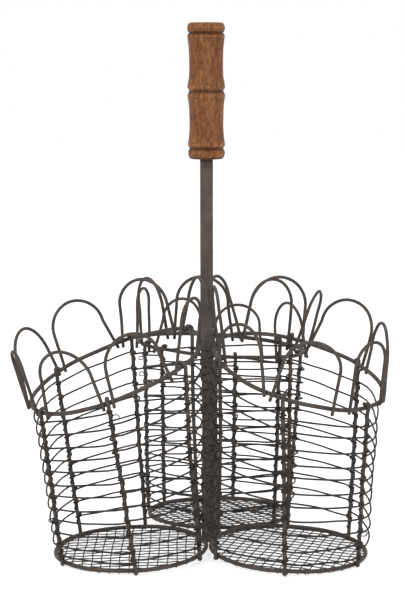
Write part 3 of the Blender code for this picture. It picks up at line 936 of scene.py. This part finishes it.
def handle():
    """The turned grip, closed at both ends, with painted shade in its grooves and painted highlights on
    its edges.
    """
    foot = BAR_LENGTH + CLEARANCE
    top = foot + HANDLE_LENGTH
    outline = smooth_line([Vector((*pair, 0)) for pair in HANDLE_OUTLINE_SHARES], OUTLINE_STEPS)
    rings = [(0.0, share) for share in TOP_CAP_SHARES]
    rings += [(p.x, p.y) for p in outline]
    rings += [(1.0, share) for share in FOOT_CAP_SHARES]
    verts = [UP * top + bar_bend(top)]
    wear = [PLAIN_TONE]
    for down, share in rings:
        tone = painted_light_tone(down)
        radius = HANDLE_RADIUS * HANDLE_SWELL * share
        z = top - HANDLE_LENGTH * down
        for k in range(HANDLE_SIDES):
            angle = math.tau * k / HANDLE_SIDES
            way = Vector((math.cos(angle), math.sin(angle), 0))
            spot = way * radius + UP * z
            dent = noise.noise(spot * HANDLE_DENT_FINENESS) * HANDLE_DENT
            verts.append(spot + way * dent + bar_bend(z))
            wear.append(tone)
    verts.append(UP * foot + bar_bend(foot))
    wear.append(PLAIN_TONE)
    faces = [(0, 1 + k, 1 + (k + 1) % HANDLE_SIDES) for k in range(HANDLE_SIDES)]
    for i in range(len(rings) - 1):
        a, b = 1 + i * HANDLE_SIDES, 1 + (i + 1) * HANDLE_SIDES
        for k in range(HANDLE_SIDES):
            n = (k + 1) % HANDLE_SIDES
            faces.append((a + k, b + k, b + n, a + n))
    last = 1 + (len(rings) - 1) * HANDLE_SIDES
    for k in range(HANDLE_SIDES):
        faces.append((last + k, len(verts) - 1, last + (k + 1) % HANDLE_SIDES))
    obj = piece("turned_grip", verts, faces, WOOD, "handle_wood", "wooden_handle")
    # Painted shade and painted highlight tone for each point
    layer = obj.data.attributes.new("wear", "FLOAT", "POINT")
    layer.data.foreach_set("value", wear)
    return obj


def bar():
    """The flat-sided bar, with softly rounded edges and slightly hammered faces."""
    half_width, half_depth = BAR_WIDTH * BAR_SWELL / 2, BAR_DEPTH * BAR_SWELL / 2
    flat_width, flat_depth = half_width - BAR_EDGE, half_depth - BAR_EDGE
    section = []
    for cx, cy, start in ((1, 1, 0), (-1, 1, 90), (-1, -1, 180), (1, -1, 270)):
        for k in range(BAR_CORNER_STEPS):
            angle = math.radians(start + 90 * k / (BAR_CORNER_STEPS - 1))
            section.append((cx * flat_width + math.cos(angle) * BAR_EDGE,
                            cy * flat_depth + math.sin(angle) * BAR_EDGE))
        for share in BAR_FACE_SHARES:
            if start in (0, 180):
                section.append((cx * share * flat_width, cy * half_depth))
            else:
                section.append((cx * half_width, cy * share * flat_depth))
    sides = len(section)
    verts, faces = [], []
    for i in range(BAR_LEVELS + 1):
        z = (BAR_LENGTH + CLEARANCE) * i / BAR_LEVELS
        for x, y in section:
            spot = Vector((x, y, z))
            dent = noise.noise(spot * BAR_DENT_FINENESS) * BAR_DENT
            verts.append(spot + Vector((x, y, 0)).normalized() * dent + bar_bend(z))
    for i in range(BAR_LEVELS):
        a, b = i * sides, (i + 1) * sides
        for k in range(sides):
            n = (k + 1) % sides
            faces.append((a + k, a + n, b + n, b + k))
    faces.append(tuple(range(sides))[::-1])
    faces.append(tuple(range(BAR_LEVELS * sides, BAR_LEVELS * sides + sides)))
    return piece("flat_bar", verts, faces, BAR_IRON, "dark_metal", "centre_bar")


def hull(points):
    """Convex outline of flat points, counterclockwise."""
    ordered = sorted(set(points))
    chains = []
    for run in (ordered, ordered[::-1]):
        chain = []
        for p in run:
            while len(chain) > 1:
                (ax, ay), (bx, by) = chain[-2], chain[-1]
                if (bx - ax) * (p[1] - ay) - (by - ay) * (p[0] - ax) > 0:
                    break
                chain.pop()
            chain.append(p)
        chains += chain[:-1]
    return chains


def ties(baskets):
    """Binding wire: crossed turns round the bar, and wider turns that take in the posts beside it."""
    grow = LASHING_WIRE / 2
    half_width, half_depth = BAR_WIDTH * BAR_SWELL / 2 + grow, BAR_DEPTH * BAR_SWELL / 2 + grow
    post_size = UPRIGHT_WIRE * POST_SWELL / 2 + grow
    paths = []
    for turns, start, way, wide in TIE_WINDINGS:
        points = []
        steps = int(turns * TIE_STEPS)
        for count in range(steps + 1):
            share = count / steps
            z = LASHING_START + LASHING_LENGTH * share
            ring = []
            for x in (-half_width, half_width):
                for y in (-half_depth, half_depth):
                    ring.append((x + bar_bend(z).x, y))
            if wide:
                for basket in baskets:
                    post = basket.stem(BAR_SIDE, min(1, z / WALL_HEIGHT))
                    for k in range(TIE_POST_SIDES):
                        turn = math.tau * k / TIE_POST_SIDES
                        x, y = math.cos(turn) * post_size, math.sin(turn) * post_size
                        ring.append((post.x + x, post.y + y))
            outline = hull(ring)
            edges = list(zip(outline, outline[1:] + outline[:1]))
            lengths = [math.dist(a, b) for a, b in edges]
            target = (start + way * turns * share) % 1 * sum(lengths)
            for (a, b), length in zip(edges, lengths):
                if target <= length:
                    break
                target -= length
            part = target / length
            p = Vector((a[0] + (b[0] - a[0]) * part, a[1] + (b[1] - a[1]) * part, z))
            points.append(p + wander(p, TIE_BEND_SIZE, TIE_BEND))
        paths.append(drawn(points, LASHING_WIRE, TIE_UNEVEN))
    return wires("tie_wires", paths, WEAVE_SIDES, SHADED_THIN_IRON, "thin_wire", "lashing_wire")


baskets = [Basket(key, values) for key, values in BASKETS.items()]
bar()
handle()
ties(baskets)
for basket in baskets:
    name = basket.name
    wires(f"{name}_base_hoop", [basket.hoop(basket.base, basket.base_radius, BASE_BEND)], RING_SIDES,
          IRON, "dark_metal", f"{name}_base_ring", closed=True)
    wires(f"{name}_rim_hoop", [basket.hoop(basket.rim, basket.rim_radius, RIM_BEND)], RING_SIDES,
          IRON, "dark_metal", f"{name}_rim_ring", closed=True)
    for post in range(POSTS):
        wires(f"{name}_post_{post + 1}", [basket.post(post)], POST_SIDES, IRON, "dark_metal",
              f"{name}_upright_{post + 1}")
    for pin in range(len(basket.shape["loops"])):
        wires(f"{name}_hairpin_{pin + 1}", [basket.pin(pin)], POST_SIDES, IRON, "dark_metal",
              f"{name}_loop_{pin + 1}")
    wires(f"{name}_winding", [basket.winding()], WEAVE_SIDES, SHADED_THIN_IRON, "thin_wire",
          f"{name}_weave_wire")
    wires(f"{name}_wire_cloth", basket.cloth(), TWIST_SIDES, SHADED_THIN_IRON, "thin_wire",
          f"{name}_floor_mesh")
    lumps = welds(basket) + [basket.foot_knob(post) for post in range(POSTS)]
    wires(f"{name}_weld_lumps", lumps, LUMP_SIDES, IRON, "dark_metal")
    twists = [basket.twist(post) for post in range(POSTS) if post != BAR_SIDE]
    twists += [basket.curl(*curl) for curl in CURLS[name]]
    wires(f"{name}_post_twists", twists, TWIST_SIDES, SHADED_THIN_IRON, "thin_wire")


def stage():
    mesh = bpy.data.meshes.new("floor")
    corners = ((-1, -1), (1, -1), (1, 1), (-1, 1))
    mesh.from_pydata([(x * FLOOR_HALF, y * FLOOR_HALF, 0) for x, y in corners], [], [(0, 1, 2, 3)])
    mesh.materials.append(floor_material())
    floor = bpy.data.objects.new("floor", mesh)
    bpy.context.scene.collection.objects.link(floor)


def world():
    """Even studio light, dimmer on the object than the white that the camera sees behind it."""
    backdrop = bpy.data.worlds.new("studio")
    bpy.context.scene.world = backdrop
    backdrop.use_nodes = True
    tree = backdrop.node_tree
    shader = tree.nodes["Background"]
    shader.inputs["Color"].default_value = WHITE
    level = tree.nodes.new("ShaderNodeMapRange")
    level.inputs["To Min"].default_value, level.inputs["To Max"].default_value = WORLD_STRENGTH
    tree.links.new(looked_at(tree), level.inputs["Value"])
    tree.links.new(level.outputs["Result"], shader.inputs["Strength"])


def lamp(name, place, target, size, power):
    data = bpy.data.lights.new(name, "AREA")
    data.shape = "DISK"
    data.size = size
    data.energy = power
    obj = bpy.data.objects.new(name, data)
    obj.location = place
    aim = Vector(target) - Vector(place)
    obj.rotation_euler = aim.to_track_quat("-Z", "Y").to_euler()
    bpy.context.scene.collection.objects.link(obj)


def camera():
    data = bpy.data.cameras.new("photo_camera")
    data.sensor_width = CAMERA_SENSOR
    data.lens = CAMERA_LENS
    data.clip_start = CAMERA_CLIP
    obj = bpy.data.objects.new("photo_camera", data)
    obj.location = CAMERA_PLACE
    obj.rotation_euler = (math.pi / 2 - CAMERA_DOWN, 0, 0)
    bpy.context.scene.collection.objects.link(obj)
    bpy.context.scene.camera = obj


stage()
world()
for settings in LAMPS:
    lamp(*settings)
camera()
bpy.context.scene.view_settings.view_transform = "Standard"
